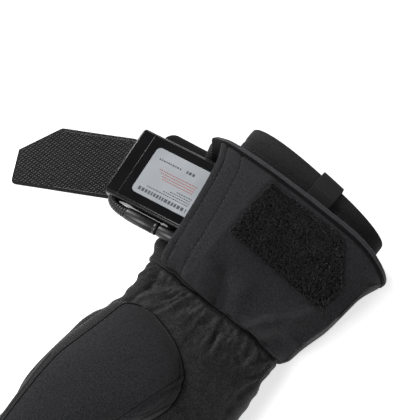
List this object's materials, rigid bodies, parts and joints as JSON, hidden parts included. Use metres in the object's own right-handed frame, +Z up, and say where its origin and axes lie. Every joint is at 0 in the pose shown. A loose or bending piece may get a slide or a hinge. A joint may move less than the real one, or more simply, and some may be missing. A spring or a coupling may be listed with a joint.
{
  "type": "heated glove",
  "caption": "Padded gauntlet glove lying palm up, with a battery pack drawn half out of the pocket in its cuff, a plug lead, an open closure strap and a knit inner cuff.",
  "frame": {"origin": "under the middle of the box round the glove, on the surface that it lies on", "axes": "+X out of the cuff, fingers to -X; +Y to the thumb side; +Z up, out of the palm"},
  "size_m": [0.3118, 0.2404, 0.0675],
  "materials": {
    "palm_fabric": "mottled synthetic suede",
    "back_fabric": "fine ribbed knit",
    "softshell": "smooth matte softshell",
    "knit": "brushed knit",
    "trim": "woven trim",
    "hook_tape": "hook tape",
    "loop_pile": "looped pile",
    "gloss_black": "glossy",
    "label_grey": "satin film",
    "plug_black": "satin"
  },
  "bodies": {
    "root": {"palm_panel": "palm_fabric", "back_panel": "back_fabric", "thumb": "softshell", "gauntlet_tube": "back_fabric", "pocket_panel": "softshell", "hem_binding": "trim", "knit_cuff": "knit", "pull_tab": "trim", "loop_patch": "loop_pile", "closure_strap": "hook_tape", "pocket_flap": "trim", "battery_case": "gloss_black", "battery_end_cap": "gloss_black", "battery_label": "label_grey", "plug_strain_relief": "plug_black", "lead_plug": "plug_black", "lead_socket": "plug_black"}
  },
  "joints": []
}
